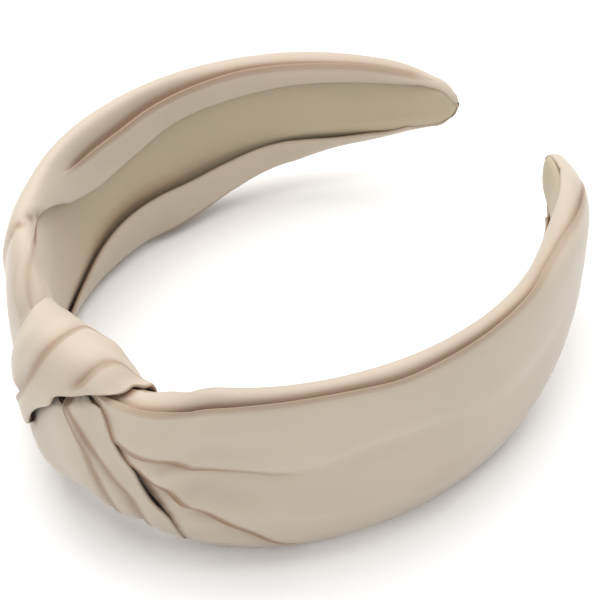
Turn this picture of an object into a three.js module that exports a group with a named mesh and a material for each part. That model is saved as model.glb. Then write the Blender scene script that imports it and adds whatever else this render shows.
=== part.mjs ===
// Knotted headband: a springy plastic hoop in a padded, pleated satin cover, knotted at the crown.
// Millimetres, +Z up. The headband lies on its edge: the hoop's plan curve is in XY, the knot is
// towards -Y, the tips point to +Y, and the band's width stands along Z.
import * as THREE from 'three';
import { mergeVertices } from 'three/addons/utils/BufferGeometryUtils.js';

// ---- driving dimensions ----
const HALF_LENGTH = 199.5;         // crown to tip along the hoop's centre line
// Bend of the hoop from crown to tip, evenly spaced, in radians per half length.
const CURVATURE = [4.1, 3.2, 2.65, 2.4, 2.05, 1.95, 1.95];
const FLEX_AT = 44;                // distance along the hoop from the crown to each flex line
const OPEN_DEGREES = 12.6;         // room for each arm to swing out, with a little clearance
const CLOSE_DEGREES = 4.6;         // room for each arm to swing in
const GAP = 0.35;                  // clearance between neighbouring solids
const FOLD_GAP = 1.1;              // clearance between the knot's loops, which the fabric's folds close
const ROUNDNESS = 2.5;             // exponent of the padded section's rounded outline
const FOOT_CUT = 0.8;              // height cut off the underside to give it a flat foot

// Cover section along the arm, as [distance from crown, value] pairs.
const LOWER_EDGE = [[0, 6], [20, 6], [36, 0], [112, 0], [150, 10.5], [177, 14], [199.5, 20]];
const UPPER_EDGE = [
  [0, 52], [20, 48.5], [40, 56], [60, 56.4], [100, 53], [150, 44.8], [177, 39.5], [199.5, 34.5],
];
const OUTER_DEPTH = [[0, 8.5], [20, 7.3], [44, 6.3], [100, 6.2], [150, 7.9], [180, 7], [199.5, 3.4]];
const INNER_DEPTH = [[0, 11], [20, 8.8], [34, 5.4], [60, 4.2], [150, 4.6], [180, 4.3], [199.5, 3.3]];
const COVER_WALL = [[0, 1.9], [150, 1.8], [199.5, 1.3]];

// Lining strip and hoop core.
const STRIP_HALF_WIDTH = [[0, 10], [130, 9.5], [180, 6.5], [199.5, 5]];
const STRIP_MIDDLE = [[0, 26], [60, 25.5], [150, 26.5], [199.5, 27]];
const CORE_FACES = [-0.8, 0.8];    // inner and outer face, measured outwards from the centre line
const TAPE_FACES = [-1.35, -1.15];
const LINING_FACES = [-2.5, -1.7];
const PADDING_INNER_FACE = 1.2;
const LEAST_PADDING = 0.5;         // thickness of the padding at its thin edges
const PADDING_EDGE = 60;           // angle round the band at which the padding's edges lie
const PADDING_END = 12;            // the padding stops this far before the cover's end
const CORE_END = 191;
const LINING_END = 192.5;
const COVER_END = 193.5;
const TIP_ROUNDING = 15;           // length over which the tip's outline rounds off
const TIP_NARROWING = 0.3;         // share of the height lost at the very tip
const TIP_END_SHARE = 0.55;        // height and depth of the folded tip's end face, against its root
const STRIP_ROUNDING = 7;          // length over which a strip's end rounds off
const STRIP_NARROWING = 0.45;      // share of the width a strip loses at its very end
const TAPE_TRIM = 1;               // how much narrower and shorter the tape is than the core
const LIP_GAP = 0.6;               // between the lining's edge and the cover's lip
const MOST_LIP = 0.97;             // highest share of the half height that a lip may reach

// Knot.
const LOOP_WALL = 4.2;             // thickness of the gathered loops
const KNOT_LEFT = -20;             // left edge of the knot, along the hoop
const OVER_LOOP_END = -16;         // angle round the band at which the over loop tucks under
const LOBE_TOP = 22;               // angle at which the lobe comes out below the over loop
const UNDER_LOOP_TOP = 46;         // angle at which the under loop comes out
const FOLD_ANGLE = 5;              // angle by which the neck's edge keeps clear of the under loop's top
// Edges of the loops: distance along the hoop against the angle round the band.
const OVER_RIGHT = [
  [-16, -12], [12, -4], [26, 1], [44, 6], [56, 9], [66, 14], [82, 20], [106, 22], [177, 20],
];
const LOBE_LEFT = [[-28, KNOT_LEFT], [-18, -10.5], [12, -2.6], [26, 2.4]];
const LOBE_RIGHT = [[-177, 2], [-100, 8], [-20, 7.5], [0, 6], [12, 5], [24, 4]];
const UNDER_LEFT = [[-177, 3.1], [-100, 9.1], [-20, 8.6], [0, 7.1], [12, 6.1], [24, 5.2], [34, 5.6], [46, 8]];
const UNDER_RIGHT = [
  [-177, 20], [-120, 28], [-80, 30], [-36, 28], [-14, 24], [0, 21], [22, 16], [44, 13], [60, 10],
];
const SEAM_HALF_ANGLE = 3;         // half of the gap behind the knot that the stitches close
const STITCH_RADIUS = 0.4;
const STITCH_ROOM = 0.9;           // left free at a stitch's two ends together
const STITCH_PLACES = [-15, -9, -3];

// ---- colours ----
const satin = { color: 0xd9c9b4, roughness: 0.55, metalness: 0 };
const satinDeep = { color: 0xcfbda6, roughness: 0.6, metalness: 0 };
const suede = { color: 0xb3a58a, roughness: 0.9, metalness: 0 };
const plastic = { color: 0xe9e6df, roughness: 0.45, metalness: 0 };
const foam = { color: 0xefe9dc, roughness: 0.95, metalness: 0 };
const tape = { color: 0xf4f1ea, roughness: 0.35, metalness: 0 };
const thread = { color: 0xcbb89c, roughness: 0.8, metalness: 0 };

// ---- small helpers ----
const lerp = THREE.MathUtils.lerp;
const radians = THREE.MathUtils.degToRad;

// Value of a smooth profile through [place, value] pairs, with no overshoot between them.
function along(pairs, place) {
  const last = pairs.length - 1;
  if (place <= pairs[0][0]) return pairs[0][1];
  if (place >= pairs[last][0]) return pairs[last][1];
  const i = pairs.findIndex(([x]) => x > place) - 1;
  const width = pairs[i + 1][0] - pairs[i][0];
  const t = (place - pairs[i][0]) / width;
  const rise = pairs[i + 1][1] - pairs[i][1];
  const startRise = slopeAt(pairs, i) * width;
  const endRise = slopeAt(pairs, i + 1) * width;
  const curve = (startRise + endRise - 2 * rise) * t + 3 * rise - 2 * startRise - endRise;
  return pairs[i][1] + (curve * t + startRise) * t;
}

// Slope of the profile at one of its pairs: level at the ends and at a peak or trough.
function slopeAt(pairs, i) {
  if (i === 0 || i === pairs.length - 1) return 0;
  const before = (pairs[i][1] - pairs[i - 1][1]) / (pairs[i][0] - pairs[i - 1][0]);
  const after = (pairs[i + 1][1] - pairs[i][1]) / (pairs[i + 1][0] - pairs[i][0]);
  return before * after > 0 ? (2 * before * after) / (before + after) : 0;
}

// ---- the hoop's centre line: its turning angle and place, integrated from the curvature ----
const HOOP_STEPS = 400;
const hoop = [{ x: 0, y: 0, turn: 0 }];
for (let i = 1; i <= HOOP_STEPS; i += 1) {
  const last = hoop[i - 1];
  const span = ((i - 0.5) / HOOP_STEPS) * (CURVATURE.length - 1);
  const knot = Math.floor(span);
  const bend = lerp(CURVATURE[knot], CURVATURE[knot + 1], span - knot) / HOOP_STEPS;
  const step = HALF_LENGTH / HOOP_STEPS;
  const middle = last.turn + bend / 2;
  hoop.push({
    x: last.x + step * Math.cos(middle),
    y: last.y + step * Math.sin(middle),
    turn: last.turn + bend,
  });
}

function hoopPoint(distance) {
  const span = (distance / HALF_LENGTH) * HOOP_STEPS;
  const i = Math.max(0, Math.min(HOOP_STEPS - 1, Math.floor(span)));
  const t = span - i;
  return {
    x: lerp(hoop[i].x, hoop[i + 1].x, t),
    y: lerp(hoop[i].y, hoop[i + 1].y, t),
    turn: lerp(hoop[i].turn, hoop[i + 1].turn, t),
  };
}

// Point at signed distance s along the hoop (right arm positive), n outwards and z up.
function place(s, n, z) {
  const { x, y, turn } = hoopPoint(Math.abs(s));
  const side = s < 0 ? -1 : 1;
  return new THREE.Vector3(side * (x + n * Math.sin(turn)), y - n * Math.cos(turn), z);
}

// ---- the padded section: a rounded outline at distance s along the hoop ----
function measures(s) {
  const from = Math.abs(s);
  const tipStart = HALF_LENGTH - TIP_ROUNDING;
  const tip = THREE.MathUtils.clamp((from - tipStart) / TIP_ROUNDING, 0, 1);
  const low = along(LOWER_EDGE, from);
  const high = along(UPPER_EDGE, from);
  return {
    middle: (high + low) / 2,
    halfHeight: ((high - low) / 2) * (1 - TIP_NARROWING * tip * tip),
    outer: along(OUTER_DEPTH, from),
    inner: along(INNER_DEPTH, from),
  };
}

// Depth n and height z of the outline, moved inwards by `inset`.
// Angle 0 is the outer face, 90 the upper edge, 180 the inner face and -90 the lower edge.
function section(s, degrees, inset) {
  const { middle, halfHeight, outer, inner } = measures(s);
  const c = Math.cos(radians(degrees));
  const q = Math.sin(radians(degrees));
  const power = 2 / ROUNDNESS;
  const halfDepth = (outer + inner) / 2 - inset;
  const n = (outer - inner) / 2 + halfDepth * Math.sign(c) * Math.abs(c) ** power;
  const z = middle + (halfHeight + FOOT_CUT - inset) * Math.sign(q) * Math.abs(q) ** power;
  return { n, z: Math.max(z, middle - halfHeight) };
}

// Angle at which the inner side of the outline, moved inwards by `inset`, reaches height z.
function lipAngle(s, z, inset) {
  const { middle, halfHeight } = measures(s);
  const share = (z - middle) / (halfHeight + FOOT_CUT - inset);
  const rise = Math.asin(Math.min(MOST_LIP, Math.abs(share)) ** (ROUNDNESS / 2));
  const degrees = THREE.MathUtils.radToDeg(rise);
  return share > 0 ? 180 - degrees : degrees - 180;
}

// ---- solids: a box of unit size whose grid is bent into shape by `shape(u, v, w)` ----
function bentBox(name, look, [across, thick, long], shape) {
  const geometry = new THREE.BoxGeometry(1, 1, 1, across, thick, long);
  geometry.translate(0.5, 0.5, 0.5);
  geometry.deleteAttribute('normal');
  geometry.deleteAttribute('uv');
  const solid = mergeVertices(geometry, 1e-5);
  const points = solid.getAttribute('position');
  for (let i = 0; i < points.count; i += 1) {
    const point = shape(points.getX(i), points.getY(i), points.getZ(i));
    points.setXYZ(i, point.x, point.y, point.z);
  }
  faceOutwards(solid);
  solid.computeVertexNormals();
  const mesh = new THREE.Mesh(solid, new THREE.MeshStandardMaterial(look));
  mesh.name = name;
  return mesh;
}

// Turns every triangle round when the bending has mirrored the box.
function faceOutwards(solid) {
  const points = solid.getAttribute('position');
  const index = solid.getIndex();
  const corner = [new THREE.Vector3(), new THREE.Vector3(), new THREE.Vector3()];
  let volume = 0;
  for (let i = 0; i < index.count; i += 3) {
    corner.forEach((p, k) => p.fromBufferAttribute(points, index.getX(i + k)));
    volume += corner[0].dot(corner[1].cross(corner[2]));
  }
  if (volume > 0) return;
  for (let i = 0; i < index.count; i += 3) {
    const swap = index.getX(i + 1);
    index.setX(i + 1, index.getX(i + 2));
    index.setX(i + 2, swap);
  }
}

// Distance by which an arm's end face is cut back at depth n, so that the arm can swing.
function wedge(n) {
  const slope = n > 0 ? Math.tan(radians(OPEN_DEGREES)) : Math.tan(radians(CLOSE_DEGREES));
  return Math.abs(n) * slope;
}

// ---- flat strips along the hoop: core, tape and lining ----
function strip(name, look, faces, from, to, steps, trim) {
  const flexCut = Math.abs(from) === FLEX_AT;
  return bentBox(name, look, [1, 1, steps], (u, v, w) => {
    const n = lerp(faces[0], faces[1], v);
    const start = flexCut ? from + Math.sign(from) * (GAP / 2 + wedge(n)) : from;
    const s = lerp(start, to, w);
    const middle = along(STRIP_MIDDLE, Math.abs(s));
    const endRound = flexCut ? roundedEnd(Math.abs(s), Math.abs(to)) : 1;
    const half = (along(STRIP_HALF_WIDTH, Math.abs(s)) - trim) * endRound;
    return place(s, n, middle + half * (2 * u - 1));
  });
}

// Width factor of a strip's rounded end.
function roundedEnd(distance, end) {
  const into = THREE.MathUtils.clamp((distance - (end - STRIP_ROUNDING)) / STRIP_ROUNDING, 0, 1);
  return 1 - STRIP_NARROWING * into * into;
}

// ---- cover: an open C section whose lips lie beside the lining ----
function cover(name, look, from, to, steps, startCut, leftEdge) {
  return bentBox(name, look, [16, 1, steps], (u, v, w) => {
    const near = lerp(from, to, w);
    const wall = along(COVER_WALL, Math.abs(near));
    const reach = along(STRIP_HALF_WIDTH, Math.abs(near)) + LIP_GAP;
    const middle = along(STRIP_MIDDLE, Math.abs(near));
    const top = lipAngle(near, middle + reach, wall);
    const bottom = lipAngle(near, middle - reach, wall);
    const angle = lerp(top, bottom, u);
    const inset = v * wall;
    const flat = section(near, angle, inset);
    const shift = startCut ? Math.sign(from) * (GAP / 2 + wedge(flat.n)) : 0;
    const edge = leftEdge ? leftEdge(angle) - from : 0;
    const s = near + (shift + edge) * (1 - w);
    const here = section(s, angle, inset);
    return place(s, here.n, here.z);
  });
}

// ---- padding between the core and the cover's outer face ----
function padding(name, from, to, steps, startCut) {
  return bentBox(name, foam, [6, 1, steps], (u, v, w) => {
    const near = lerp(from, to, w);
    const inset = along(COVER_WALL, Math.abs(near)) + GAP;
    const outer = section(near, lerp(PADDING_EDGE, -PADDING_EDGE, u), inset);
    const n = lerp(PADDING_INNER_FACE, Math.max(outer.n, PADDING_INNER_FACE + LEAST_PADDING), v);
    const shift = startCut ? Math.sign(from) * (GAP / 2 + wedge(n)) : 0;
    return place(near + shift * (1 - w), n, outer.z);
  });
}

// ---- fabric end folded over the tip ----
function tipFold(name, side) {
  return bentBox(name, satinDeep, [8, 2, 4], (u, v, w) => {
    const s = side * lerp(COVER_END + GAP, HALF_LENGTH, w);
    const half = lerp(1, TIP_END_SHARE, w * w);
    const edge = section(s, lerp(90, -90, u), 0);
    const back = section(s, lerp(90, 270, u), 0);
    const middle = (section(s, 90, 0).z + section(s, -90, 0).z) / 2;
    return place(s, lerp(back.n, edge.n, v) * half, lerp(middle, edge.z, half));
  });
}

// ---- knot: loops of gathered fabric on the padded section ----
function loopPatch(name, look, [across, round], angles, leftEdge, rightEdge) {
  return bentBox(name, look, [across, 1, round], (u, v, w) => {
    const angle = lerp(angles[0], angles[1], w);
    const s = lerp(along(leftEdge, angle), along(rightEdge, angle), u);
    const point = section(s, angle, v * LOOP_WALL);
    return place(s, point.n, point.z);
  });
}

const SEAM_TOP = 180 - SEAM_HALF_ANGLE;

function overLoop() {
  const angles = [SEAM_TOP, OVER_LOOP_END];
  return loopPatch('knot_over_loop', satin, [5, 20], angles, [[0, KNOT_LEFT]], OVER_RIGHT);
}

function knotLobe() {
  return loopPatch('knot_lobe', satin, [4, 20], [LOBE_TOP, -SEAM_TOP], LOBE_LEFT, LOBE_RIGHT);
}

function underLoop() {
  const angles = [UNDER_LOOP_TOP, -SEAM_TOP];
  return loopPatch('knot_under_loop', satinDeep, [4, 20], angles, UNDER_LEFT, UNDER_RIGHT);
}

// Left edge of the right neck: it follows the over loop above and the under loop below.
function rightNeckStart(degrees) {
  const below = degrees < UNDER_LOOP_TOP + FOLD_ANGLE ? along(UNDER_RIGHT, degrees) : 0;
  const above = degrees > UNDER_LOOP_TOP - FOLD_ANGLE ? along(OVER_RIGHT, degrees) : 0;
  return Math.max(below, above) + FOLD_GAP;
}

// Wadding that fills the knot between the core and the loops.
function crownPadding() {
  return bentBox('crown_padding', foam, [6, 1, 10], (u, v, w) => {
    const s = lerp(KNOT_LEFT, -KNOT_LEFT, w);
    const outer = section(s, lerp(PADDING_EDGE, -PADDING_EDGE, u), LOOP_WALL + 3 * GAP);
    const n = lerp(PADDING_INNER_FACE, Math.max(outer.n, PADDING_INNER_FACE + LEAST_PADDING), v);
    return place(s, n, outer.z);
  });
}

// Tacking stitches across the gap behind the knot.
function stitch(s, name) {
  const above = section(s, SEAM_TOP, LOOP_WALL / 2);
  const below = section(s, -SEAM_TOP, LOOP_WALL / 2);
  const length = above.z - below.z - STITCH_ROOM;
  const shape = new THREE.CylinderGeometry(STITCH_RADIUS, STITCH_RADIUS, length, 8);
  shape.rotateX(Math.PI / 2);
  const mesh = new THREE.Mesh(shape, new THREE.MeshStandardMaterial(thread));
  mesh.name = name;
  mesh.position.copy(place(s, above.n, (above.z + below.z) / 2));
  return mesh;
}

// ---- assembly ----
const headband = new THREE.Group();
const crownEnd = FLEX_AT - GAP / 2;
const tapeEnd = FLEX_AT - TAPE_TRIM;
headband.add(strip('crown_core', plastic, CORE_FACES, -crownEnd, crownEnd, 14, 0));
headband.add(strip('crown_tape', tape, TAPE_FACES, -tapeEnd, tapeEnd, 14, TAPE_TRIM));
headband.add(strip('crown_lining', suede, LINING_FACES, -crownEnd, crownEnd, 14, 0));
headband.add(crownPadding());
headband.add(overLoop());
headband.add(knotLobe());
headband.add(underLoop());
headband.add(cover('left_neck', satin, KNOT_LEFT - GAP, -crownEnd, 5, false, null));
headband.add(cover('right_neck', satin, along(OVER_RIGHT, 90), crownEnd, 4, false, rightNeckStart));
STITCH_PLACES.forEach((s, i) => headband.add(stitch(s, `knot_stitch_${i + 1}`)));

for (const [side, word] of [[-1, 'left'], [1, 'right']]) {
  const flex = side * FLEX_AT;
  const tapeTip = side * (CORE_END - TAPE_TRIM);
  headband.add(strip(`${word}_core_arm`, plastic, CORE_FACES, flex, side * CORE_END, 14, 0));
  headband.add(strip(`${word}_tape`, tape, TAPE_FACES, flex, tapeTip, 12, TAPE_TRIM));
  headband.add(strip(`${word}_lining`, suede, LINING_FACES, flex, side * LINING_END, 14, 0));
  headband.add(padding(`${word}_padding`, flex, side * (COVER_END - PADDING_END), 12, true));
  headband.add(cover(`${word}_cover`, satin, flex, side * COVER_END, 16, true, null));
  headband.add(tipFold(`${word}_tip_fold`, side));
}

// The origin is at the middle of the bottom of the whole headband's box.
const box = new THREE.Box3().setFromObject(headband);
const middle = box.getCenter(new THREE.Vector3());
headband.position.set(-middle.x, -middle.y, -box.min.z);

export default headband;
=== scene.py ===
import bpy
import functools
import math
import numpy as np
from mathutils import Matrix, Vector


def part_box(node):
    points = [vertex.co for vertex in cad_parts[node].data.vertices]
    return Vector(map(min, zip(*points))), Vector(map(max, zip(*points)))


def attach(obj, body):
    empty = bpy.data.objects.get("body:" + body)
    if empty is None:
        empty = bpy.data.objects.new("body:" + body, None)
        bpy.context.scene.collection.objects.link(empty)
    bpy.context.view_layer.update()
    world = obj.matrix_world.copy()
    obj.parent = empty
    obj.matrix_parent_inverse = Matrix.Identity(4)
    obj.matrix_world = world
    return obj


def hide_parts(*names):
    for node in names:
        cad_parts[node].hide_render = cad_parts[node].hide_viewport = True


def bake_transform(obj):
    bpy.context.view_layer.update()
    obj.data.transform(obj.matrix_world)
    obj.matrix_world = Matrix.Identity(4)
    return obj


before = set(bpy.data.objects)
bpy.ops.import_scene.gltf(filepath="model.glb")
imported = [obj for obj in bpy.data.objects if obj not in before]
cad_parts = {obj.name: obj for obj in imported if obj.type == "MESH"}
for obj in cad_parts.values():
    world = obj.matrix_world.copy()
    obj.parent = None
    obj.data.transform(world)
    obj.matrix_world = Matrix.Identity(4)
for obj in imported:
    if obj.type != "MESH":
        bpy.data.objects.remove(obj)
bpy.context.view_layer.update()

# ---- the band's driving dimensions in millimetres, the same as the CAD part's ----
MM = 0.001
HALF_LENGTH = 199.5
CURVATURE = [4.1, 3.2, 2.65, 2.4, 2.05, 1.95, 1.95]
ROUNDNESS = 2.5
FOOT_CUT = 0.8
LOWER_EDGE = [(0, 6), (20, 6), (36, 0), (112, 0), (150, 10.5), (177, 14), (199.5, 20)]
UPPER_EDGE = [
    (0, 52), (20, 48.5), (40, 56), (60, 56.4), (100, 53), (150, 44.8), (177, 39.5), (199.5, 34.5),
]
OUTER_DEPTH = [(0, 8.5), (20, 7.3), (44, 6.3), (100, 6.2), (150, 7.9), (180, 7), (199.5, 3.4)]
INNER_DEPTH = [(0, 11), (20, 8.8), (34, 5.4), (60, 4.2), (150, 4.6), (180, 4.3), (199.5, 3.3)]
CORE_OUTER_FACE = 0.8
# The hoop's ends round off from TIP_START, and close from TIP_END.
TIP_START = 184.5
TIP_END = 193.5
LAYERS_CLOSE_FROM = 195
LAYERS_CLOSE_OVER = 4.5
# Where the painted crease shade fades out before the tips.
CREASE_SHADE_ENDS = 193
CREASE_SHADE_FADE = 8
CROWN_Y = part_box("crown_core")[0][1] / MM + CORE_OUTER_FACE


def ease(t):
    """Smooth step from 0 to 1."""
    t = np.clip(t, 0, 1)
    return t * t * (3 - 2 * t)


def along(pairs, x):
    """Smooth profile through (place, value) pairs, with no overshoot between them."""
    p = np.array(pairs, float)
    px, py = p[:, 0], p[:, 1]
    if px[0] > px[-1]:
        px, py = px[::-1], py[::-1]
    x = np.clip(np.asarray(x, float), px[0], px[-1])
    width = np.diff(px)
    slope = np.diff(py) / width
    tangent = np.zeros(len(px))
    for i in range(1, len(px) - 1):
        if slope[i - 1] * slope[i] > 0:
            tangent[i] = 2 * slope[i - 1] * slope[i] / (slope[i - 1] + slope[i])
    i = np.clip(np.searchsorted(px, x, side="right") - 1, 0, len(px) - 2)
    t = (x - px[i]) / width[i]
    rise = py[i + 1] - py[i]
    a, b = tangent[i] * width[i], tangent[i + 1] * width[i]
    return py[i] + (((a + b - 2 * rise) * t + 3 * rise - 2 * a - b) * t + a) * t


# ---- the hoop's centre line ----
HOOP_STEPS = 2000
_share = np.linspace(0, 1, HOOP_STEPS + 1)
_bend = np.interp(_share, np.linspace(0, 1, len(CURVATURE)), CURVATURE) / HOOP_STEPS
_turn = np.concatenate([[0], np.cumsum((_bend[1:] + _bend[:-1]) / 2)])
_step = HALF_LENGTH / HOOP_STEPS
_hoop_x = np.concatenate([[0], np.cumsum((np.cos(_turn[1:]) + np.cos(_turn[:-1])) / 2)]) * _step
_hoop_y = np.concatenate([[0], np.cumsum((np.sin(_turn[1:]) + np.sin(_turn[:-1])) / 2)]) * _step


def place(s, n, z):
    """Point in metres at signed distance s along the hoop, n outwards, z up."""
    share = np.abs(s) / HALF_LENGTH
    x = np.interp(share, _share, _hoop_x)
    y = np.interp(share, _share, _hoop_y)
    turn = np.interp(share, _share, _turn)
    side = np.where(np.asarray(s) < 0, -1.0, 1.0)
    px = side * (x + n * np.sin(turn))
    py = y - n * np.cos(turn) + CROWN_Y
    return np.stack([px, py, z + 0 * px], -1) * MM


def section(s, degrees):
    """Depth and height of the outline at s. 0 is the outer face, 90 the upper edge, 180 the inner face."""
    away = np.abs(s)
    low, high = along(LOWER_EDGE, away), along(UPPER_EDGE, away)
    outer, inner = along(OUTER_DEPTH, away), along(INNER_DEPTH, away)
    middle, half = (low + high) / 2, (high - low) / 2
    c, q = np.cos(np.radians(degrees)), np.sin(np.radians(degrees))
    power = 2 / ROUNDNESS
    n = (outer - inner) / 2 + (outer + inner) / 2 * np.sign(c) * np.abs(c) ** power
    z = middle + (half + FOOT_CUT) * np.sign(q) * np.abs(q) ** power
    z = np.maximum(z, low)
    into = np.clip((away - TIP_START) / (HALF_LENGTH - TIP_START), 0, 1)
    at_end = np.clip((away - TIP_END) / (HALF_LENGTH - TIP_END), 0, 1)
    rounding = (1 - 0.22 * into**2) * np.sqrt(1 - 0.98 * at_end**2)
    centre = (outer - inner) / 2
    depth = (0.3 + 0.7 * rounding) * (1 - 0.8 * at_end**6)
    return centre + (n - centre) * depth, middle + (z - middle) * rounding


ANGLES = np.linspace(180, -180, 1081)


class Outline:
    """The section at one place along the hoop, measured by its own length from the inner face's middle."""

    def __init__(self, s):
        n, z = section(np.full(ANGLES.shape, float(s)), ANGLES)
        step = np.hypot(np.diff(n), np.diff(z))
        self.q = np.concatenate([[0], np.cumsum(np.maximum(step, 1e-6))])
        self.n, self.z = n, z
        dn = np.gradient(n, self.q)
        dz = np.gradient(z, self.q)
        kernel = np.hanning(31)
        kernel /= kernel.sum()
        dn = np.convolve(np.pad(dn, 15, mode="edge"), kernel, "valid")
        dz = np.convolve(np.pad(dz, 15, mode="edge"), kernel, "valid")
        size = np.maximum(np.hypot(dn, dz), 1e-9)
        self.out_n, self.out_z = -dz / size, dn / size
        # the curve runs from the inner face over the top, so outwards is to its left
        if np.interp(-90, -ANGLES, self.out_z) < 0:
            self.out_n, self.out_z = -self.out_n, -self.out_z

    def at(self, degrees):
        return np.interp(-np.asarray(degrees, float), -ANGLES, self.q)

    def point(self, q, h):
        n = np.interp(q, self.q, self.n) + h * np.interp(q, self.q, self.out_n)
        z = np.interp(q, self.q, self.z) + h * np.interp(q, self.q, self.out_z)
        return n, z


# ---- pleated cloth ----
SHEET_THICKNESS = 0.45
LINING_THICKNESS = 0.5
LEAST_PLEAT_GAP = 1.1
ARM_SPACING = 1.3
LOOP_SPACING = 1.1
ARM_TUCK = 3.0
LOOP_TUCK = 2.5
HEM_RADIUS = (0.6, 0.6)
UV_PER_MM = 0.01
CREASE_STEPS = 19
RETURN_STEPS = 3
TURN_STEPS = 6
# Painted shade for each of the hem's TURN_STEPS + 1 columns round the turn and RETURN_STEPS columns behind
# it.
HEM_SHADE = np.array([0.05, 0.1, 0.3, 0.6, 0.9, 1.0, 1.0, 1.0, 1.0, 1.0])


class Crease:
    """A line where cloth steps over itself, with shade painted along it as strong as its last argument. On
    top is the cloth at smaller x (side 1) or larger x (-1).
    """

    def __init__(self, line, height, side, reach=9.0, dip=0.3, shade_strength=1.0):
        self.line, self.height, self.side = line, height, side
        self.reach, self.dip, self.shade_strength = reach, dip, shade_strength


def smooth_rows(values, passes=2):
    for _ in range(passes):
        padded = np.pad(values, 2, mode="edge")
        values = np.convolve(padded, [0.1, 0.2, 0.4, 0.2, 0.1], "valid")
    return values


def crease_height(crease, x, centre, half, phi, height):
    """Height that one crease gives the cloth at x. phi is set inside the crease's own columns."""
    side = crease.side
    away = (centre - x) * side
    top = 1 - ease((away - half) / crease.reach)
    behind = -crease.dip * (1 - ease((-away - half) / (0.6 * crease.reach)))
    if phi is None:
        return height * np.where(away > 0, top, behind)
    t = ease((phi * side + 0.85) / 1.7)
    lip = 0.12 * np.exp(-(((phi * side) + 0.62) / 0.25) ** 2)
    return height * ((1 - t) * top + t * behind + lip)


def lay_out(keys, start, end, creases, spacing, radius):
    """Across positions, heights and painted crease shade of a pleated strip. Every row has the same
    columns.
    """
    rows = len(keys)
    lines, heights = [], []
    for crease in creases:
        lines.append(smooth_rows(crease.line(keys)))
        heights.append(np.maximum(along(crease.height, keys), 0))
    count = len(lines)
    for k in range(count):
        low = (lines[k - 1] if k else start + radius[0]) + LEAST_PLEAT_GAP
        lines[k] = np.maximum(lines[k], low)
    for k in reversed(range(count)):
        high = (lines[k + 1] if k < count - 1 else end - radius[1]) - LEAST_PLEAT_GAP
        lines[k] = np.minimum(lines[k], high)
    halves = []
    for k in range(count):
        before = lines[k] - (lines[k - 1] if k else start + radius[0])
        after = (lines[k + 1] if k < count - 1 else end - radius[1]) - lines[k]
        room = 0.42 * np.minimum(before, after)
        halves.append(np.minimum(np.clip(0.5 * heights[k] + 0.25, 0.3, 1.2), np.maximum(room, 0.05)))
    columns = []
    edges = [start + radius[0]] + lines + [end - radius[1]]
    for k in range(count + 1):
        a = edges[k] + (halves[k - 1] if k else 0)
        b = edges[k + 1] - (halves[k] if k < count else 0)
        steps = max(3, int(np.mean(np.abs(b - a)) / spacing))
        for t in 0.5 - 0.5 * np.cos(np.linspace(0, math.pi, steps + 2)):
            columns.append((a + (b - a) * t, None, None))
        if k < count:
            for phi in np.linspace(-1, 1, CREASE_STEPS + 2)[1:-1]:
                over = halves[k] * np.clip(heights[k] / 0.6, 0, 1)
                x = lines[k] + halves[k] * phi - over * math.sin(math.pi * phi)
                columns.append((x, k, phi))
    across = np.zeros((rows, len(columns)))
    lift = np.zeros_like(across)
    crease_shade = np.zeros_like(across)
    for j, (x, own, phi) in enumerate(columns):
        across[:, j] = x
        for k, crease in enumerate(creases):
            inner = phi if own == k else None
            lift[:, j] += crease_height(crease, x, lines[k], halves[k], inner, heights[k])
            # Painted shade: dark on the lower cloth just past each lip, a little on the lip, and most in
            # the crease's own columns.
            beyond = (x - lines[k]) * crease.side
            near = np.exp(-((np.maximum(beyond - halves[k], 0) / 0.9) ** 2))
            wide = np.exp(-((np.maximum(beyond - halves[k], 0) / (2.0 + heights[k])) ** 2))
            lip = 0.55 * np.exp(-((np.maximum(-beyond - halves[k], 0) / 0.35) ** 2))
            depth = np.where(beyond > 0, 0.6 * near + 0.3 * wide, lip)
            if own == k:
                depth = np.full(rows, 0.55 + 0.35 * float(ease((phi * crease.side + 1) / 0.5)))
            crease_shade[:, j] = np.maximum(crease_shade[:, j], depth * crease.shade_strength * np.clip(heights[k] / 0.8, 0, 1))
    return across, lift, crease_shade


def turn_under(across, lift, crease_shade, start, end, radius, tuck):
    """Adds the two edges' turned-under hems, with shade painted round each turn."""
    first_x, first_h = hem_curve(start, lift[:, 0], radius[0], tuck, 1)
    last_x, last_h = hem_curve(end, lift[:, -1], radius[1], tuck, -1)
    shade_strength = np.tile(HEM_SHADE, (len(first_x), 1))
    return (
        np.hstack([first_x[:, ::-1], across, last_x]),
        np.hstack([first_h[:, ::-1], lift, last_h]),
        np.hstack([shade_strength[:, ::-1], crease_shade, shade_strength]),
    )


def hem_curve(edge, top, radius, tuck, side):
    """One hem: half a turn under, then a short way back behind the cloth."""
    xs, hs = [], []
    for a in np.linspace(0, math.pi, TURN_STEPS + 2)[1:]:
        xs.append(edge + side * (radius - radius * math.sin(a)))
        hs.append(top - radius + radius * math.cos(a))
    for t in np.linspace(0, tuck, RETURN_STEPS + 1)[1:]:
        xs.append(edge + side * (radius + t))
        hs.append(top - 2 * radius - 0.1 * t)
    return np.stack(xs, 1), np.stack(hs, 1)


def ripples(keys, across, size, seed, stretch=0.02, pitch=0.33):
    """Small pulled wrinkles that run along the strip."""
    rng = np.random.default_rng(seed)
    total = np.zeros_like(across)
    k = np.asarray(keys, float)[:, None]
    for i in range(5):
        f = pitch * (0.6 + 0.5 * i) * rng.uniform(0.8, 1.2)
        g = stretch * rng.uniform(-1.5, 1.5)
        wobble = 1.6 * np.sin(k * stretch * rng.uniform(0.8, 2.0) + rng.uniform(0, 6))
        phase = k * stretch * 2.4 * rng.uniform(0.6, 1.4) + across * 0.07 + rng.uniform(0, 6)
        gate = 0.5 + 0.5 * np.sin(phase)
        total += gate * np.sin(f * across + g * k + wobble + rng.uniform(0, 6)) / (1 + 0.6 * i)
    return size * total / 2


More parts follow.
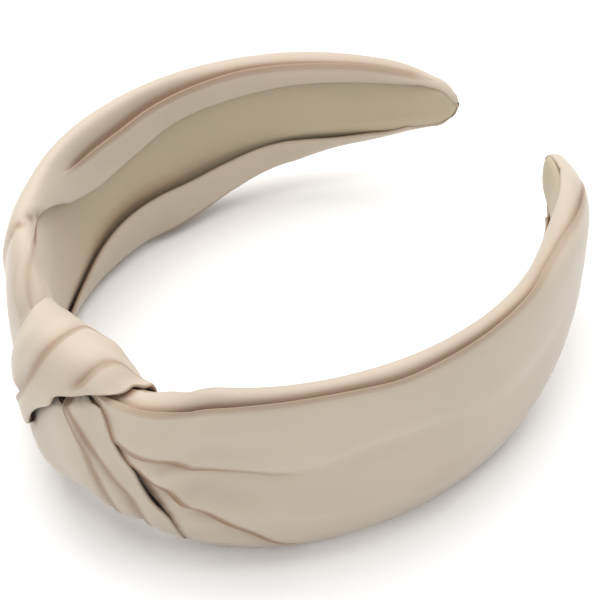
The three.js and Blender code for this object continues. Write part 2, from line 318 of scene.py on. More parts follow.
def grid_mesh(name, points, outwards, crease_shade, tone, lengths, thickness=SHEET_THICKNESS):
    """A cloth mesh from a rows x columns grid of points, thickened inwards."""
    rows, cols = points.shape[:2]
    index = np.arange(rows * cols).reshape(rows, cols)
    quads = np.stack([index[:-1, :-1], index[1:, :-1], index[1:, 1:], index[:-1, 1:]], -1).reshape(-1, 4)
    flat = points.reshape(-1, 3)
    a = flat[quads[:, 1]] - flat[quads[:, 0]]
    b = flat[quads[:, 3]] - flat[quads[:, 0]]
    facing = np.einsum("ij,ij->i", np.cross(a, b), outwards.reshape(-1, 3)[quads[:, 0]])
    if np.sum(facing) < 0:
        quads = quads[:, ::-1]
    mesh = bpy.data.meshes.new(name)
    mesh.from_pydata(flat.tolist(), [], quads.tolist())
    mesh.polygons.foreach_set("use_smooth", np.ones(len(quads), bool))
    for label, values in (("crease_shade", crease_shade), ("tone", tone)):
        layer = mesh.attributes.new(label, "FLOAT", "POINT")
        layer.data.foreach_set("value", np.asarray(values, np.float32).ravel())
    uv = mesh.uv_layers.new(name="cloth")
    loops = np.zeros(len(mesh.loops), np.int64)
    mesh.loops.foreach_get("vertex_index", loops)
    coords = np.stack([lengths[0].ravel()[loops], lengths[1].ravel()[loops]], -1) * UV_PER_MM
    uv.data.foreach_set("uv", coords.astype(np.float32).ravel())
    mesh.update()
    obj = bpy.data.objects.new(name, mesh)
    bpy.context.scene.collection.objects.link(obj)
    solid = obj.modifiers.new("thickness", "SOLIDIFY")
    solid.thickness = thickness * MM
    solid.offset = -1
    apply_modifiers(obj)
    return obj


def apply_modifiers(obj):
    """Turns what the modifiers make into the object's own mesh."""
    bpy.context.view_layer.update()
    shape = bpy.data.meshes.new_from_object(obj.evaluated_get(bpy.context.evaluated_depsgraph_get()))
    obj.modifiers.clear()
    obj.data = shape


def line_of(path, outlines):
    """A crease or edge path of (s, degrees), as across positions for the strip's rows."""
    by_s = sorted(path)
    return lambda keys: np.array([o.at(d) for o, d in zip(outlines, along(by_s, keys))])


def closing(s):
    """Falls towards 0 where the hoop's ends close, so layers lie flat on each other there."""
    return 1 - 0.92 * ease((np.abs(s) - LAYERS_CLOSE_FROM) / LAYERS_CLOSE_OVER)


def arm_cloth(name, stations, edges, creases, shape, shadow_line):
    """A strip of cloth along the hoop. Rows are sections, the across position runs round the outline."""
    stations = np.asarray(stations, float)
    outlines = [Outline(s) for s in stations]
    start = smooth_rows(line_of(edges[0], outlines)(stations))
    end = smooth_rows(line_of(edges[1], outlines)(stations))
    pleats = []
    for c in creases:
        pleats.append(Crease(line_of(c.line, outlines), sorted(c.height), c.side, c.reach, c.dip, c.shade_strength))
    across, lift, crease_shade = lay_out(stations, start, end, pleats, ARM_SPACING, HEM_RADIUS)
    degrees = np.array([np.interp(x, o.q, ANGLES) for o, x in zip(outlines, across)])
    s = stations[:, None] + 0 * across
    lift = lift + shape(s, degrees, across)
    # The arm's painted shadow line joins the painted crease shade.
    crease_shade = np.maximum(crease_shade, shadow_line(s, degrees))
    across, lift, crease_shade = turn_under(across, lift, crease_shade, start, end, HEM_RADIUS, ARM_TUCK)
    # The painted crease shade fades out towards the hoop's tips.
    crease_shade = crease_shade * ease((CREASE_SHADE_ENDS - np.abs(stations)) / CREASE_SHADE_FADE)[:, None]
    lift = lift * closing(stations)[:, None]
    points = np.zeros(across.shape + (3,))
    outwards = np.zeros_like(points)
    for i, o in enumerate(outlines):
        n, z = o.point(across[i], lift[i])
        points[i] = place(np.full(n.shape, stations[i]), n, z)
        n2, z2 = o.point(across[i], lift[i] + 1)
        outwards[i] = place(np.full(n.shape, stations[i]), n2, z2) - points[i]
    shade = np.zeros_like(across)
    return grid_mesh(name, points, outwards, crease_shade, shade, (stations[:, None] + 0 * across, across))


def loop_cloth(name, angles, edges, creases, shape, radius=HEM_RADIUS):
    """A strip of cloth round the band. Its rows are angles, its across position runs along the hoop."""
    angles = np.asarray(angles, float)
    start = smooth_rows(along(sorted(edges[0]), angles))
    end = smooth_rows(along(sorted(edges[1]), angles))
    pleats = []
    for c in creases:
        line = functools.partial(along, sorted(c.line))
        pleats.append(Crease(line, sorted(c.height), c.side, c.reach, c.dip, c.shade_strength))
    across, lift, crease_shade = lay_out(angles, start, end, pleats, LOOP_SPACING, radius)
    lift = lift + shape(across, angles[:, None] + 0 * across)
    across, lift, crease_shade = turn_under(across, lift, crease_shade, start, end, radius, LOOP_TUCK)
    degrees = angles[:, None] + 0 * across
    n, z = section(across, degrees)
    n1, z1 = section(across, degrees + 3)
    n0, z0 = section(across, degrees - 3)
    dn, dz = n1 - n0, z1 - z0
    size = np.maximum(np.hypot(dn, dz), 1e-9)
    out_n, out_z = dz / size, -dn / size
    points = place(across, n + lift * out_n, z + lift * out_z)
    outwards = place(across, n + (lift + 1) * out_n, z + (lift + 1) * out_z) - points
    steps = np.linalg.norm(np.diff(points, axis=0, prepend=points[:1]), axis=-1)
    lengths = (np.cumsum(steps, 0) / MM, across)
    return grid_mesh(name, points, outwards, crease_shade, np.zeros_like(across), lengths)


# ---- materials ----
def shader(name, roughness, sheen=0.0, specular=0.5):
    material = bpy.data.materials.new(name)
    material.use_nodes = True
    nodes, links = material.node_tree.nodes, material.node_tree.links
    principled = nodes["Principled BSDF"]
    principled.inputs["Roughness"].default_value = roughness
    principled.inputs["Sheen Weight"].default_value = sheen
    principled.inputs["Sheen Roughness"].default_value = 0.45
    principled.inputs["Specular IOR Level"].default_value = specular
    return material, nodes, links, principled


def noise(nodes, links, scale, detail, stretch=None):
    """Noise in the object's own coordinates, or, with a stretch, along the cloth."""
    texture = nodes.new("ShaderNodeTexNoise")
    texture.inputs["Scale"].default_value = scale
    texture.inputs["Detail"].default_value = detail
    coords = nodes.new("ShaderNodeTexCoord")
    if stretch is None:
        links.new(coords.outputs["Object"], texture.inputs["Vector"])
    else:
        mapping = nodes.new("ShaderNodeMapping")
        mapping.inputs["Scale"].default_value = stretch
        links.new(coords.outputs["UV"], mapping.inputs["Vector"])
        links.new(mapping.outputs["Vector"], texture.inputs["Vector"])
    return texture


def mix(nodes, links, factor, a, b):
    """Colour between a and b. The factor is a socket, a and b are sockets or plain colours."""
    node = nodes.new("ShaderNodeMix")
    node.data_type = "RGBA"
    links.new(factor, node.inputs[0])
    for socket, value in ((node.inputs[6], a), (node.inputs[7], b)):
        if isinstance(value, tuple):
            socket.default_value = value + (1,)
        else:
            links.new(value, socket)
    return node.outputs[2]


def scaled(nodes, links, value, low, high):
    """The value, spread from low..high to 0..1."""
    node = nodes.new("ShaderNodeMapRange")
    node.inputs["From Min"].default_value = low
    node.inputs["From Max"].default_value = high
    links.new(value, node.inputs["Value"])
    return node.outputs["Result"]


def cloth_material(name, light, dark, crease, other=None, roughness=0.55, sheen=0.25, weave=0.10):
    """Cloth in two close tones, with painted shade darkening its creases, and `other` where its tone
    attribute is 1.
    """
    material, nodes, links, principled = shader(name, roughness, sheen, 0.35)
    broad = noise(nodes, links, 28.0, 2.0)
    colour = mix(nodes, links, scaled(nodes, links, broad.outputs["Fac"], 0.3, 0.7), dark, light)
    if other is not None:
        tone = nodes.new("ShaderNodeAttribute")
        tone.attribute_name = "tone"
        colour = mix(nodes, links, tone.outputs["Fac"], colour, other)
    # Painted shade: the colour darkens towards `crease` wherever the mesh's shade attribute is set, in
    # creases, hem turns and under lips.
    crease_shade = nodes.new("ShaderNodeAttribute")
    crease_shade.attribute_name = "crease_shade"
    colour = mix(nodes, links, crease_shade.outputs["Fac"], colour, crease)
    links.new(colour, principled.inputs["Base Color"])
    fine = noise(nodes, links, 1.0, 3.0, (70.0, 110.0, 1.0))
    bump = nodes.new("ShaderNodeBump")
    bump.inputs["Strength"].default_value = weave
    bump.inputs["Distance"].default_value = 0.0003
    links.new(fine.outputs["Fac"], bump.inputs["Height"])
    links.new(bump.outputs["Normal"], principled.inputs["Normal"])
    return material


def plain_material(name, light, dark, roughness, scale=60.0, bumpy=0.0):
    material, nodes, links, principled = shader(name, roughness)
    texture = noise(nodes, links, scale, 3.0)
    links.new(mix(nodes, links, texture.outputs["Fac"], dark, light), principled.inputs["Base Color"])
    if bumpy:
        bump = nodes.new("ShaderNodeBump")
        bump.inputs["Strength"].default_value = bumpy
        bump.inputs["Distance"].default_value = 0.0005
        links.new(texture.outputs["Fac"], bump.inputs["Height"])
        links.new(bump.outputs["Normal"], principled.inputs["Normal"])
    return material


SATIN_LIGHT = (0.505, 0.424, 0.338)
SATIN_DARK = (0.462, 0.390, 0.310)
# A slightly darker copy of the satin for the strap and lobe, which lie under the wrap: painted shade.
SHADED_KNOT_SATIN_LIGHT = (0.490, 0.416, 0.336)
SHADED_KNOT_SATIN_DARK = (0.450, 0.384, 0.308)
LINING_LIGHT = (0.47, 0.40, 0.29)
LINING_DARK = (0.445, 0.378, 0.272)
# Painted shade colours for creases, hem turns and the shadows under the cover's lips.
LINING_SHADE_COLOUR = (0.22, 0.11, 0.055)
CREASE_SHADE_COLOUR = (0.20, 0.092, 0.034)
satin = cloth_material("satin", SATIN_LIGHT, SATIN_DARK, CREASE_SHADE_COLOUR)
# The strap and lobe get the darker satin copy, painted shade for lying under the wrap.
satin_shaded = cloth_material("satin_strap_shaded", SHADED_KNOT_SATIN_LIGHT, SHADED_KNOT_SATIN_DARK, CREASE_SHADE_COLOUR)
lining = cloth_material(
    "lining", LINING_LIGHT, LINING_DARK, LINING_SHADE_COLOUR, SATIN_LIGHT, roughness=0.85, sheen=0.1, weave=0.25
)
plastic = plain_material("core_plastic", (0.84, 0.82, 0.78), (0.80, 0.78, 0.74), 0.45)
tape = plain_material("clear_tape", (0.93, 0.91, 0.87), (0.88, 0.86, 0.82), 0.35)
foam = plain_material("wadding", (0.90, 0.87, 0.80), (0.80, 0.77, 0.70), 0.95, 400.0, 0.4)
thread = plain_material("thread", (0.62, 0.52, 0.40), (0.52, 0.43, 0.33), 0.8, 900.0, 0.4)


def dress(obj, material):
    obj.data.materials.clear()
    obj.data.materials.append(material)
    return obj


def flexible(obj):
    """Bakes the piece's placement into its mesh."""
    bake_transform(obj)
    return obj


# ---- knot lines: distance along the hoop against the angle round the band ----
WRAP_LEFT = [
    (-177, -13), (-17, -13), (-13, -15), (-9, -17.2), (-4, -18.4), (16, -17.6), (44, -16.5),
    (74, -18.5), (90, -21.5), (104, -23.5), (118, -24), (135, -22.5), (150, -20), (177, -16),
]
WRAP_RIGHT = [
    (-16, -12), (-6, -9), (12, -4), (26, 1), (34, 1.5), (44, 6), (56, 9.5), (66, 13.5), (74, 15.5),
    (84, 16.5), (94, 17), (102, 18.5), (110, 20.5), (125, 21), (177, 20),
]
WRAP_ARC_2 = [
    (-16, -15.5), (0, -13), (20, -8), (50, -4), (82, -3), (104, -3.5), (114, -1), (120, 4),
    (126, 9), (134, 13), (177, 12),
]
WRAP_ARC_3 = [(44, 4.5), (62, 7.5), (84, 9), (98, 11), (106, 15), (112, 18), (177, 17)]
STRAP_1 = [(46, 1), (28, 2), (18, 4), (2, 6), (-4, 8), (-20, 8), (-60, 8), (-177, 3)]
STRAP_2 = [(46, 2.5), (32, 2.8), (18, 6), (2, 10), (-12, 12), (-36, 14), (-90, 15), (-177, 8)]
STRAP_3 = [(46, 4), (36, 4.6), (24, 8), (8, 12), (-2, 16), (-18, 20), (-60, 22), (-177, 13)]
STRAP_RIGHT = [
    (60, 9), (44, 13), (22, 16), (10, 18), (0, 21), (-14, 24), (-36, 28), (-80, 30), (-120, 28),
    (-177, 20),
]


def neck_edge(degrees):
    """Where the knot's right side ends, along the hoop, at an angle round the band."""
    strap = along(sorted(STRAP_RIGHT), degrees)
    wrap = along(WRAP_RIGHT, degrees)
    return np.where(degrees < 58, strap, np.where(degrees > 70, wrap, np.maximum(strap, wrap)))


# ---- right arm: its lines are distance along the hoop against degrees round the band ----
TIP_STATIONS = np.append(np.arange(186, 199.2, 0.55), 199.5)


def right_shape(s, degrees, across):
    """Broad height of the right cover: gathers by the knot, soft ridges and a roll at the inner face."""
    beyond = s - neck_edge(degrees)
    low = -(0.4 + 0.6 * ease((degrees + 25) / 20)) * (1 - ease(beyond / 8)) - 2.0 * ease(-beyond / 4)
    gathers = 0.5 * np.sin(across * 0.62 + 0.6) * ease((62 - s) / 34) * ease(beyond / 7)
    inner_roll = 2.4 * ease((-degrees - 104) / 30) * ease((s - 95) / 30) * ease((186 - s) / 20)
    broad = 0.35 * np.sin(across * 0.16 + 0.02 * s + 1.0)
    ridge = 1.3 * valley(s, degrees, RIDGE_LOW, 4) - 1.0 * valley(s, degrees, VALLEY_MID, 6)
    fine = ripples(s[:, 0], across, 0.24, 5)
    below = along(TERMINATOR, s) - degrees
    shoulder = 1.1 * (1 - ease((below + 6) / 14)) * ease((below + 60) / 50) - 0.3
    ridge = ridge + shoulder * ease((s - 50) / 20) * ease((150 - s) / 30)
    return low + gathers + inner_roll + (broad + ridge + fine) * ease((s - 8) / 20)


def valley(s, degrees, path, spread):
    """1 on a path of (s, degrees), falling to 0 over `spread` degrees either side and past its ends."""
    line = along(sorted(path), s)
    first, last = min(p[0] for p in path), max(p[0] for p in path)
    ends = ease((s - first + 6) / 12) * ease((last + 10 - s) / 20)
    return np.exp(-(((degrees - line) / spread) ** 2)) * ends


TERMINATOR = [(4, 6), (58, 6), (66, 8), (76, 12), (98, 7), (110, 5), (150, 10), (199.5, 10)]
RIDGE_LOW = [(30, -6), (44, -10), (52, -12), (62, -16), (71, -18), (81, -22), (92, -28), (104, -30)]
VALLEY_MID = [(28, 3), (38, 0), (44, 0), (53, 2), (62, 4), (76, 10), (98, 8)]
RIGHT_TOP_FOLD = [
    (4, 60), (10, 60), (19, 64), (26, 64), (36, 60), (47, 65), (58, 67), (70, 66), (82, 63),
    (93, 66), (106, 68), (117, 71), (128, 76), (138, 86), (148, 86), (158, 76), (169, 62),
    (178, 48), (199.5, 20),
]
RIGHT_UPPER_PLEAT = [
    (4, 30), (16, 24), (20, 20), (24, 18), (31, 14), (38, 10), (46, 8), (52, 4), (80, 0),
    (199.5, -6),
]
RIGHT_DEEP_PLEAT = [
    (4, 12), (20, 6), (22, 2), (26, -2), (35, -10), (42, -20), (48, -32), (51, -42), (60, -62),
    (199.5, -70),
]
RIGHT_TOP_LIP = [
    (4, 150), (30, 150), (100, 150), (145, 147), (154, 139), (160, 130), (168, 115), (176, 106),
    (188, 98), (194, 104), (197, 130), (199.5, 176),
]
RIGHT_BOTTOM_LIP = [
    (4, -140), (30, -140), (100, -146), (130, -156), (160, -158), (172, -150), (186, -134),
    (194, -126), (197, -140), (199.5, -176),
]


def right_shadow_line(s, degrees):
    """A painted shadow line in the cover where it comes out from under the knot."""
    return 0.9 * np.exp(-(((s - neck_edge(degrees) - 0.2) / 1.1) ** 2))


def right_cover():
    stations = np.concatenate([np.arange(4, 34, 0.6), np.arange(34, 60, 1.2), np.arange(60, 186, 1.7),
                               TIP_STATIONS])
    creases = [
        Crease(RIGHT_TOP_FOLD, [(4, 0.4), (14, 1.0), (60, 0.9), (130, 1.0), (170, 0.8), (190, 0)], -1,
               reach=12, shade_strength=0.6),
        Crease(RIGHT_UPPER_PLEAT, [(4, 0.5), (20, 1.1), (36, 0.9), (52, 0.3), (62, 0), (199.5, 0)], 1,
               reach=8),
        Crease(RIGHT_DEEP_PLEAT, [(4, 0.5), (20, 0.9), (44, 1.6), (52, 1.0), (60, 0), (199.5, 0)], 1,
               reach=12, dip=0.15, shade_strength=1.15),
    ]
    edges = (RIGHT_TOP_LIP, RIGHT_BOTTOM_LIP)
    obj = arm_cloth("right_cover_fabric", stations, edges, creases, right_shape, right_shadow_line)
    dress(flexible(obj), satin)
    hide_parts("right_cover", "right_neck", "right_tip_fold")
    return obj


# ---- left arm ----
LEFT_TOP_LIP = [
    (-199.5, 176), (-197, 140), (-194, 128), (-190, 128), (-183, 136), (-168, 141), (-154, 143),
    (-138, 147), (-126, 149), (-115, 152), (-104, 160), (-96, 164), (-82, 164), (-74, 160),
    (-67, 153), (-58, 137), (-51, 124), (-46, 121), (-40, 118), (-36, 110), (-30, 92), (-10, 70),
]
LEFT_BOTTOM_LIP = [
    (-199.5, -176), (-197, -142), (-194, -130), (-186, -138), (-174, -146), (-162, -151),
    (-154, -156), (-141, -162), (-131, -165), (-121, -166), (-110, -166), (-100, -166), (-90, -164),
    (-80, -158), (-70, -146), (-60, -136), (-50, -130), (-10, -120),
]
# Where the arm's upper strip crosses out over the neck: degrees round the band, distance from the crown.
CROSSING = [
    (0, 39), (30, 40), (60, 42), (90, 45), (119, 50), (138, 58), (155, 67), (166, 84), (180, 90),
]
LEFT_TOP_FOLD = [
    (-199.5, 60), (-192, 96), (-183, 110), (-174, 110), (-166, 112), (-154, 114), (-140, 115),
    (-124, 120), (-106, 128), (-91, 135), (-77, 135), (-66, 126), (-58, 114), (-50, 84), (-44, 64),
    (-34, 48), (-10, 38),
]
LEFT_BOTTOM_FOLD = [(-199.5, -80), (-170, -108), (-153, -110), (-141, -114), (-128, -124), (-114, -127),
                    (-106, -120), (-90, -112), (-60, -104), (-10, -100)]


def left_shape(s, degrees, across):
    """Broad height of the left cover: sunk under the knot, a ridge at the crossing, a lower roll."""
    away = -s
    knot = -1.0 * (1 - ease((away - 22) / 10)) - 2.4 * (1 - ease((away - 12) / 10))
    past = away - along(CROSSING, degrees)
    upper = ease((degrees - 10) / 30)
    crossing = 1.1 * ease((past + 1.4) / 3.2) * (1 - ease((past - 3) / 18)) * upper
    low_roll = 1.3 * ease((-degrees - 104) / 30) * ease((away - 40) / 14) * ease((185 - away) / 30)
    broad = 0.3 * np.sin(across * 0.15 + 0.02 * s + 2.0)
    fine = ripples(s[:, 0], across, 0.15, 9)
    return knot + crossing + low_roll + (broad + fine) * ease((away - 20) / 20)


def left_shadow_line(s, degrees):
    """A painted shadow line beside the crossing."""
    past = -s - along(CROSSING, degrees)
    line = 0.6 * np.exp(-(((past + 0.9) / 0.8) ** 2))
    return line * ease((degrees - 40) / 30) * ease((128 - degrees) / 8)


def left_cover():
    stations = -np.concatenate([np.arange(10, 38, 1.3), np.arange(38, 66, 0.5), np.arange(66, 186, 1.7),
                                TIP_STATIONS])
    creases = [
        Crease(LEFT_TOP_FOLD, [(-196, 0), (-186, 0.9), (-150, 1.2), (-90, 1.2), (-78, 0.9), (-66, 0),
                               (-42, 0), (-10, 0)], 1, reach=9, dip=0.4, shade_strength=0.7),
        Crease(LEFT_BOTTOM_FOLD, [(-199.5, 0), (-165, 0), (-150, 1.3), (-112, 1.3), (-100, 0),
                                  (-10, 0)], -1, reach=8),
    ]
    edges = (LEFT_TOP_LIP, LEFT_BOTTOM_LIP)
    obj = arm_cloth("left_cover_fabric", stations, edges, creases, left_shape, left_shadow_line)
    dress(flexible(obj), satin)
    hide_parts("left_cover", "left_neck", "left_tip_fold")
    return obj


# ---- lining ----
LEFT_LINING_TOP = [
    (-199.4, 150), (-197, 122), (-194, 117), (-190, 118), (-183, 129), (-168, 134), (-138, 140),
    (-115, 145), (-100, 155), (-87, 159), (-71, 151), (-62, 136), (-52, 118), (-46, 113),
    (-40, 108), (-36, 98), (-32, 82), (-27, 60), (-20, 42), (-12, 34),
]
LEFT_LINING_BOTTOM = [
    (-199.4, -150), (-197, -126), (-194, -120), (-186, -128), (-150, -144), (-120, -150),
    (-98, -150), (-80, -144), (-60, -124), (-40, -112), (-12, -100),
]
RIGHT_LINING_TOP = [
    (12, 120), (60, 128), (100, 134), (145, 134), (154, 128), (160, 118), (168, 105), (176, 98),
    (188, 90), (194, 94), (197, 116), (199.4, 150),
]
RIGHT_LINING_BOTTOM = [
    (12, -120), (60, -128), (100, -134), (150, -138), (183, -124), (194, -116), (197, -126),
    (199.4, -150),
]


LINING_UNDER_COVER = 0.25
LINING_HOLLOW = 1.9


def lining_cloth(name, stations, top, bottom, depth, tone, lips, shadow_strengths):
    """The lining's rows run from its upper edge, down the inner face, to its lower edge."""
    stations = np.asarray(stations, float)
    upper = along(sorted(top), stations)
    lower = 360 + along(sorted(bottom), stations)
    steps = np.linspace(0, 1, 60)
    degrees = upper[:, None] + (lower - upper)[:, None] * steps[None, :]
    s = stations[:, None] + 0 * degrees
    n, z = section(s, degrees)
    n1, z1 = section(s, degrees + 4)
    n0, z0 = section(s, degrees - 4)
    dn, dz = n1 - n0, z1 - z0
    size = np.maximum(np.hypot(dn, dz), 1e-9)
    out_n, out_z = dz / size, -dn / size
    lift = depth(s, degrees) * closing(s) - LINING_UNDER_COVER
    points = place(s, n + lift * out_n, z + lift * out_z)
    outwards = place(s, n + (lift + 1) * out_n, z + (lift + 1) * out_z) - points
    shade = tone(s, degrees)
    from_top = degrees - along(sorted(lips[0]), s)
    from_bottom = 360 + along(sorted(lips[1]), s) - degrees
    # Painted shadow in the lining: along the slit by the neck and under the cover's upper and lower lips.
    slit_shadow = 2.5 * shadow_strengths[0] * np.exp(-((from_top / 3.5) ** 2)) * ease((s + 58) / 4) * ease((-37 - s) / 4)
    shadow_under_top = shadow_strengths[0] * np.exp(-((from_top / 5) ** 2))
    shadow_under_bottom = shadow_strengths[1] * np.exp(-((from_bottom / 7) ** 2)) * ease((150 - np.abs(s)) / 50)
    crease_shade = slit_shadow + shadow_under_top + shadow_under_bottom
    steps_down = np.linalg.norm(np.diff(points, axis=1, prepend=points[:, :1]), axis=-1)
    lengths = (s, np.cumsum(steps_down, 1) / MM)
    return grid_mesh(name, points, outwards, np.clip(crease_shade, 0, 1), shade, lengths, LINING_THICKNESS)


def left_lining_depth(s, degrees):
    """The left lining lies in a hollow, rises to the neck beside the knot, and sinks under the wrap."""
    away = -s
    rise = 1 - ease((away - 36) / 34)
    tip = ease((away - 182) / 14)
    hollow = -LINING_HOLLOW * (1 - rise) * (1 - 0.9 * tip) * (1 - 0.6 * ease((degrees - 182) / 22))
    under_wrap = -1.9 * (1 - ease((away - 18) / 10))
    over_top = 0.9 * ease((120 - degrees) / 30) * ease((away - 18) / 10) * (1 - ease((away - 33) / 7))
    return hollow + under_wrap + over_top + 0.15 * np.sin(s * 0.13 + degrees * 0.05)


def right_lining_depth(s, degrees):
    """The right lining lies in a hollow up to the tip and sinks under the wrap."""
    tip = ease((s - 182) / 14)
    under_wrap = 1.5 * (1 - ease((s - 24) / 12))
    return -LINING_HOLLOW * (1 - 0.9 * tip) - under_wrap + 0.1 * np.sin(s * 0.11 + degrees * 0.05)


def left_lining_tone(s, degrees):
    """1 at the neck, where satin shows inside as well, and 0 along the arm."""
    return 1 - ease((-s - 40 - 0.16 * (degrees - 110)) / 30)


def right_lining_tone(s, degrees):
    return 0 * s


def linings():
    stations = -np.concatenate([np.arange(12, 186, 1.6), np.arange(186, 199.2, 0.55), [199.4]])
    # The last pair sets how strong the painted shadows under the upper and lower lips are.
    left = lining_cloth(
        "left_lining_fabric", stations, LEFT_LINING_TOP, LEFT_LINING_BOTTOM, left_lining_depth,
        left_lining_tone, (LEFT_TOP_LIP, LEFT_BOTTOM_LIP), (0.3, 0.5)
    )
    right = lining_cloth(
        "right_lining_fabric", -stations, RIGHT_LINING_TOP, RIGHT_LINING_BOTTOM, right_lining_depth,
        right_lining_tone, (RIGHT_TOP_LIP, RIGHT_BOTTOM_LIP), (0.4, 0.4)
    )
    for obj, side, word in ((left, -1, "left"), (right, 1, "right")):
        dress(flexible(obj), lining)
        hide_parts(f"{word}_lining")
    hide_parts("crown_lining")


# ---- knot ----
def wrap_shape(s, degrees):
    """Broad height of the wrap: puffed at the front, proud of the strap, and flat inside the band."""
    edge = along(WRAP_RIGHT, degrees)
    high_end = ease((s - 9) / 10) * ease((degrees - 60) / 16)
    proud = 1.4 * ease((s + 26) / 10) - 1.5 * high_end
    puff = 1.5 * np.exp(-(((s + 10) / 9) ** 2 + ((degrees - 50) / 60) ** 2))
    lower = 0.35 * np.exp(-(((s - edge) / 5) ** 2)) * ease((80 - degrees) / 30)
    soft = 0.35 * np.sin(0.35 * s + 0.05 * degrees) + 0.25 * np.sin(0.8 * s - 0.03 * degrees + 1)
    inside = -1.0 * ease((degrees - 120) / 30)
    tip = -2.4 * ease((-8 - s) / 8) * ease((14 - degrees) / 22)
    end = -1.5 * ease((-4 - degrees) / 11)
    return 0.2 + proud + puff + lower + soft * 0.6 + inside + tip + end


def strap_shape(s, degrees):
    """Broad height of the strap, which dives under the wrap."""
    hidden = -2.6 * ease((degrees - along([(2, 26), (8, 44), (14, 60)], s) + 3) / 10)
    return 0.75 + hidden + 0.2 * np.sin(0.9 * s + 0.04 * degrees)


def lobe_shape(s, degrees):
    """Broad height of the lobe: a round belly that dives under the wrap."""
    under_from = along([(-20, -4), (-16, -10), (-12, -14), (-4, 10), (2, 26)], s)
    hidden = -2.0 * ease((degrees - under_from + 3) / 8)
    belly = 1.6 * np.exp(-(((s + 7) / 8) ** 2 + ((degrees + 28) / 34) ** 2))
    return 0.2 + hidden + belly + 0.2 * np.sin(0.5 * s + 0.06 * degrees)


LOBE_UNDER_STRAP = 1.6


def knot():
    angles = np.arange(-17, 191, 1.6)
    wrap = loop_cloth("knot_wrap_fabric", angles, (WRAP_LEFT, WRAP_RIGHT), [
        Crease(WRAP_ARC_2, [(-17, 0.9), (0, 1.1), (60, 1.0), (110, 0.9), (135, 0.6), (150, 0),
                            (177, 0)], -1, reach=7, shade_strength=0.75),
        Crease(WRAP_ARC_3, [(44, 0), (52, 0.3), (62, 0.8), (84, 0.9), (110, 0.8), (124, 0), (177, 0)], -1,
               reach=4, shade_strength=0.7),
    ], wrap_shape)
    ride_and_dress(wrap, satin, ["knot_over_loop"])
    angles = np.concatenate([np.arange(48, -100, -1.5), np.arange(-100, -178, -3)])
    strap = loop_cloth("knot_strap_fabric", angles[::-1], (STRAP_1, STRAP_RIGHT), [
        Crease(STRAP_2, [(-177, 0), (-110, 0.3), (-60, 0.9), (30, 0.9), (46, 0.5)], -1, reach=4, shade_strength=0.9),
        Crease(STRAP_3, [(-177, 0), (-110, 0.3), (-60, 1.0), (30, 1.0), (46, 0.5)], -1, reach=5, shade_strength=0.9),
    ], strap_shape)
    ride_and_dress(strap, satin_shaded, ["knot_under_loop"])
    angles = np.concatenate([np.arange(26, -100, -1.5), np.arange(-100, -178, -3)])
    left_of_strap = [(d, s + LOBE_UNDER_STRAP) for d, s in STRAP_1]
    edges = ([(26, -20), (-30, -20), (-177, -20)], left_of_strap)
    lobe = loop_cloth("knot_lobe_fabric", angles[::-1], edges, [], lobe_shape, radius=(0.9, 0.5))
    ride_and_dress(lobe, satin_shaded, ["knot_lobe"])


def ride_and_dress(obj, material, nodes):
    """A loop of the knot: it rides on the crown, stands for its nodes, and lies over the wadding."""
    dress(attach(obj, "crown"), material)
    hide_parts(*nodes)


# ---- wadding ----
def wadding(name, body, node, from_s, to_s, inset):
    """A soft lens of wadding between the hoop core and the cloth."""
    rows, turns = 40, 48
    inner_face = 1.2
    least_outer = 1.9
    stations = np.linspace(from_s, to_s, rows)
    around = np.linspace(0, 2 * math.pi, turns, endpoint=False)
    s = stations[:, None] + 0 * around[None, :]
    half = np.where(np.abs(around) < math.pi, around / math.pi, 2 - around / math.pi)
    degrees = (60 - 120 * half)[None, :] + 0 * s
    away = np.abs(s)
    n_out, z = section(s, degrees)
    n_out = n_out - inset
    outer = (around < math.pi)[None, :]
    n = np.where(outer, np.maximum(n_out, least_outer), inner_face)
    middle = (along(LOWER_EDGE, away) + along(UPPER_EDGE, away)) / 2
    share = np.clip((stations - from_s) / (to_s - from_s), 0, 1)
    fade = np.sin(share * math.pi)[:, None] ** 0.15
    n = inner_face + (n - inner_face) * fade + 0.12 * np.sin(0.7 * s) * np.sin(0.5 * z) * fade * outer
    z = middle + (z - middle) * 0.93
    points = place(s, n, z)
    vertices = points.reshape(-1, 3).tolist()
    index = np.arange(rows * turns).reshape(rows, turns)
    beside = np.roll(index, -1, axis=1)
    quads = np.stack([index[:-1], beside[:-1], beside[1:], index[1:]], -1).reshape(-1, 4).tolist()
    quads += [index[0][::-1].tolist(), index[-1].tolist()]
    mesh = bpy.data.meshes.new(name)
    mesh.from_pydata(vertices, [], quads)
    mesh.update()
    obj = bpy.data.objects.new(name, mesh)
    bpy.context.scene.collection.objects.link(obj)
    dress(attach(obj, body), foam)
    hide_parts(node)


# ---- studio ----
CAMERA_AZIMUTH = math.radians(47.9)
CAMERA_ELEVATION = math.radians(45.2)
CAMERA_ROLL = -0.030
CAMERA_DISTANCE = 0.596
CAMERA_TARGET = Vector((0.0003, (CROWN_Y + 69.8) * MM, 0.0282))
CAMERA_LENS = 136.5
CAMERA_SHIFT = (0.0175, -0.0373)
FLOOR_HALF_WIDTH = 3.0
FLOOR_DROP = 0.0006
WORLD_STRENGTH = 0.68


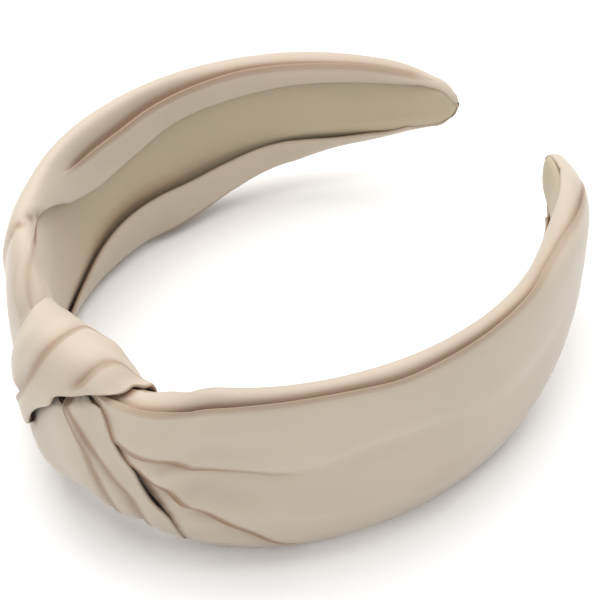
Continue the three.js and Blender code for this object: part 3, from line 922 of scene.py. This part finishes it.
def aim_camera():
    """A camera on the sphere round its target, rolled a little."""
    back = Vector((math.sin(CAMERA_AZIMUTH) * math.cos(CAMERA_ELEVATION),
                   -math.cos(CAMERA_AZIMUTH) * math.cos(CAMERA_ELEVATION), math.sin(CAMERA_ELEVATION)))
    right = Vector((math.cos(CAMERA_AZIMUTH), math.sin(CAMERA_AZIMUTH), 0))
    up = back.cross(right)
    c, r = math.cos(CAMERA_ROLL), math.sin(CAMERA_ROLL)
    x_axis, y_axis = c * right + r * up, c * up - r * right
    data = bpy.data.cameras.new("camera")
    data.lens = CAMERA_LENS
    data.shift_x, data.shift_y = CAMERA_SHIFT
    camera = bpy.data.objects.new("camera", data)
    bpy.context.scene.collection.objects.link(camera)
    turn = Matrix((x_axis, y_axis, back)).transposed().to_4x4()
    camera.matrix_world = Matrix.Translation(CAMERA_TARGET + CAMERA_DISTANCE * back) @ turn
    bpy.context.scene.camera = camera


def studio():
    """A pale floor, a big softbox above, a weak one in front, and a white surround. Sizes in metres."""
    mesh = bpy.data.meshes.new("floor")
    w = FLOOR_HALF_WIDTH
    mesh.from_pydata([(-w, -w, 0), (w, -w, 0), (w, w, 0), (-w, w, 0)], [], [(0, 1, 2, 3)])
    floor = bpy.data.objects.new("floor", mesh)
    floor.location.z = -FLOOR_DROP
    bpy.context.scene.collection.objects.link(floor)
    material, nodes, links, principled = shader("white_floor", 0.9, 0.0, 0.1)
    texture = noise(nodes, links, 3.0, 1.0)
    links.new(mix(nodes, links, texture.outputs["Fac"], (0.93, 0.93, 0.93), (0.94, 0.94, 0.94)),
              principled.inputs["Base Color"])
    floor.data.materials.append(material)
    softbox("overhead", (-0.25, 0.20, 0.9), (0, 0, 0), 1.1, 12.5)
    softbox("front_fill", (0.30, -0.80, 0.50), (0.03, 0, 0.02), 0.6, 1.2)
    world = bpy.data.worlds.new("studio")
    world.use_nodes = True
    world.node_tree.nodes["Background"].inputs["Color"].default_value = (1.0, 1.0, 1.0, 1)
    world.node_tree.nodes["Background"].inputs["Strength"].default_value = WORLD_STRENGTH
    bpy.context.scene.world = world
    bpy.context.scene.view_settings.view_transform = "Standard"


def softbox(name, location, target, size, power):
    data = bpy.data.lights.new(name, "AREA")
    data.size = size
    data.energy = power
    light = bpy.data.objects.new(name, data)
    light.location = location
    light.rotation_mode = "QUATERNION"
    light.rotation_quaternion = (Vector(target) - Vector(location)).to_track_quat("-Z", "Y")
    bpy.context.scene.collection.objects.link(light)


def carried_over():
    """Materials for the CAD nodes that are kept: the hoop core, its tape and the stitches."""
    for name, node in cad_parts.items():
        for word, look in (("core", plastic), ("tape", tape), ("stitch", thread)):
            if word in name:
                node.data.materials.clear()
                node.data.materials.append(look)


wadding("crown_padding_fill", "crown", "crown_padding", -19.5, 19.5, 5.4)
wadding("left_padding_fill", "left_arm", "left_padding", -180.0, -46.0, 2.6)
wadding("right_padding_fill", "right_arm", "right_padding", 46.0, 180.0, 2.6)
right_cover()
left_cover()
linings()
knot()
carried_over()
aim_camera()
studio()
